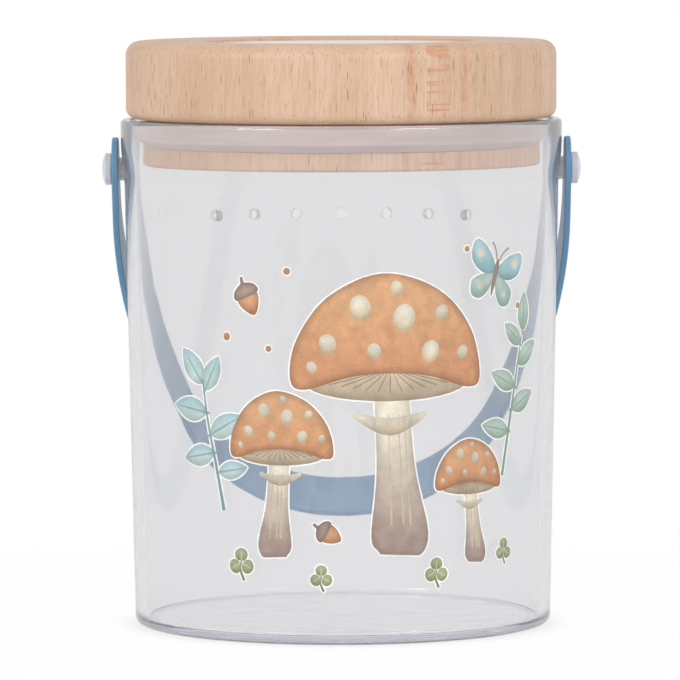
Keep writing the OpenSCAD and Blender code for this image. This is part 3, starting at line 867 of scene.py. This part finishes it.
def draw_picture():
    pic = Picture()
    pic.leaf(-34.5, 58.5, 10, 5.4, 128, TEAL, SAGE)
    for u, z, size, turn in ((-33.4, 52.0, 10.5, 172), (-32.6, 47.0, 10.0, 28), (-31.4, 43.0, 9.5, 190),
                             (-34.0, 57.0, 9.0, 62), (-30.4, 38.6, 8.0, 10)):
        pic.leaf(u, z, size, size * 0.52, turn, TEAL, SAGE)
    pic.stroke([(-29.0, 30.0), (-31.0, 40.0), (-33.2, 50.0), (-34.6, 59.5)], (0.9, 0.75, 0.6, 0.35),
               (128, 160, 160), edge=0)
    for u, z, size, turn in ((43.6, 47.0, 9.0, 168), (44.6, 52.0, 9.5, 22), (45.8, 57.0, 9.0, 156),
                             (47.0, 62.0, 9.0, 35), (48.0, 66.5, 8.0, 140), (48.8, 69.5, 9.0, 88)):
        pic.leaf(u, z, size, size * 0.5, turn, SAGE, (158, 184, 164))
    pic.stroke([(41.6, 37.0), (43.6, 47.0), (46.4, 60.0), (48.8, 70.5)], (0.9, 0.75, 0.6, 0.3),
               (132, 156, 138), edge=0)
    pic.toadstool(-14.5, 43.5, 25, 14, 20.5, 5.6, lean=-1.5)
    pic.toadstool(31.5, 35.5, 19, 10.5, 18.5, 4.2, lean=1.8)
    pic.toadstool(11.0, 60.0, 46, 24, 21.0, 9.5, lean=2.5)
    pic.moth(38.5, 83.0, 5.6, -16)
    pic.acorn(-22.0, 78.5, 3.2, 24)
    pic.acorn(-3.5, 25.5, 2.6, 62)
    for u, z, size in ((-24.5, 18.4, 2.7), (-5.0, 15.6, 2.2), (22.5, 16.4, 2.5), (42.5, 20.0, 2.2)):
        pic.clover(u, z, size)
    for u, z, r in ((-27.5, 69.5, 0.9), (-17.0, 67.0, 0.7), (46.5, 75.5, 0.7), (30.0, 89.0, 0.7),
                    (-12.5, 84.5, 0.8)):
        pic.blob(u, z, r, r, ORANGE, low_tone=RUST, count=14)
    return pic.shapes


def with_halos(shapes):
    """The shapes over a pale border round each of those that have one."""
    halos = []
    for shape in shapes:
        if shape["halo"]:
            line = shape["line"]
            way = np.roll(line, -1, axis=0) - np.roll(line, 1, axis=0)
            out = np.stack([way[:, 1], -way[:, 0]], axis=1)
            out /= np.maximum(np.linalg.norm(out, axis=1, keepdims=True), 1e-9)
            turn = np.sign((line[:, 0] * np.roll(line[:, 1], -1) - np.roll(line[:, 0], -1) * line[:, 1]).sum())
            halos.append(dict(shape, line=line + out * HALO_W * turn, tone=WHITE, low=WHITE, edge=0.0, streak=0.0))
    return halos + shapes


def cut_out(shapes):
    """Triangles along all outlines: the points, and each triangle inside a shape with its topmost shape."""
    points, edges = [], []
    for shape in shapes:
        first, count = len(points), len(shape["line"])
        points += [Vector(p) for p in shape["line"]]
        edges += [(first + i, first + (i + 1) % count) for i in range(count)]
    for row, z in enumerate(np.arange(*PRINT_BOX[1], GRID_Z)):
        points += [Vector((u + (GRID_U / 2 if row % 2 else 0), z)) for u in np.arange(*PRINT_BOX[0], GRID_U)]
    spots, _, tris = delaunay_2d_cdt(points, edges, [], 0, 1e-4, True)[:3]
    spots = np.array([tuple(v) for v in spots])
    tris = np.array([tuple(f) for f in tris])
    corners = spots[tris]
    area = np.abs(np.cross(corners[:, 1] - corners[:, 0], corners[:, 2] - corners[:, 0])) / 2
    tris = tris[area > 1e-6]
    middle, top = spots[tris].mean(axis=1), np.full(len(tris), -1)
    for i, shape in enumerate(shapes):
        top[inside(shape["line"], middle)] = i
    return spots, tris[top >= 0], top[top >= 0]


def mottle(u, z, per_u, per_z, layer):
    """Soft noise over the picture."""
    return noise.noise(Vector((u * per_u, z * per_z, layer)))


def painted(shape, where):
    """A shape's linear colours at points: two tones from head to foot, darker edges, washes and streaks."""
    line = shape["line"]
    height = (where[:, 1] - line[:, 1].min()) / (np.ptp(line[:, 1]) + 1e-6)
    share = np.clip(1.15 - 1.5 * height, 0, 1)[:, None]
    tone = (1 - share) * np.array(shape["tone"], float) + share * np.array(shape["low"], float)
    shadow = 1 - shape["edge"] * np.exp(-(from_edge(line, where) / DARK_EDGE_W) ** 2)
    wash = np.array([mottle(u, z, *WASH) * WASH_DEPTH + shape["streak"] * mottle(u, z, *STREAK) * STREAK_DEPTH
                     for u, z in where])
    return linear(np.clip(tone * (shadow + wash)[:, None], 0, 255) / 255)


def make_print(ink):
    """One thin film on the wall: every triangle takes the topmost shape that it lies in."""
    shapes = with_halos(draw_picture())
    spots, tris, top = cut_out(shapes)
    paint = np.ones((len(tris), 3, 4))
    for i, shape in enumerate(shapes):
        chosen = np.where(top == i)[0]
        if len(chosen):
            paint[chosen, :, :3] = painted(shape, spots[tris[chosen]].reshape(-1, 2)).reshape(-1, 3, 3)

    used, tris = np.unique(tris, return_inverse=True)
    spots, tris = spots[used], tris.reshape(-1, 3)
    a, b, c = (spots[tris[:, k]] for k in range(3))
    swap = np.cross(b - a, c - a) < 0
    tris[swap], paint[swap] = tris[swap][:, ::-1], paint[swap][:, ::-1]
    count, verts, outward = len(used), [], []
    for lift in (PRINT_LIFT, PRINT_LIFT + PRINT_T):
        for u, z in spots:
            angle, r = u / PRINT_ARC_R, wall_outer(z) + lift
            verts.append((r * math.sin(angle), -r * math.cos(angle), z))
            outward.append((math.sin(angle), -math.cos(angle), 0))
    faces = [tuple(f + count) for f in tris] + [tuple(f[::-1]) for f in tris]
    normals = [outward[v] for f in tris for v in f]
    normals += [tuple(-c for c in outward[v]) for f in tris for v in f[::-1]]
    # The film's inner face is painted paler: painted light standing in for the front light that shines through the
    # ink
    painted_shine_through = (1 - UNDER_SHINE_THROUGH) * paint + UNDER_SHINE_THROUGH
    colours = list(paint.reshape(-1, 4)) + list(painted_shine_through[:, ::-1].reshape(-1, 4))
    sides = {(int(f[i]), int(f[j])): (k, i, j) for k, f in enumerate(tris) for i, j in ((0, 1), (1, 2), (2, 0))}
    for (a, b), (k, i, j) in sides.items():
        if (b, a) not in sides:
            faces.append((a, b, b + count, a + count))
            across = (Vector(verts[b]) - Vector(verts[a])).cross(Vector(outward[a])).normalized()
            normals += [tuple(across)] * 4
            colours += [paint[k, i], paint[k, j], paint[k, j], paint[k, i]]
    film = new_piece("print_film", verts, [tuple(int(v) for v in f) for f in faces], normals)
    film.data.color_attributes.new("paint", "FLOAT_COLOR", "CORNER").data.foreach_set(
        "color", np.array(colours, dtype=np.float32).ravel())
    shade(film)
    film.data.materials.append(ink)
    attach(film, "jar")


clear, wood, rubber = clear_plastic(), beech(), seal_rubber()
acrylic, blue, pale, ink = lens_acrylic(), strap_plastic(), pin_plastic(), print_ink()
studio()
make_jar(clear)
make_pins(pale)
make_lid(wood, rubber, acrylic)
make_strap(blue)
make_print(ink)
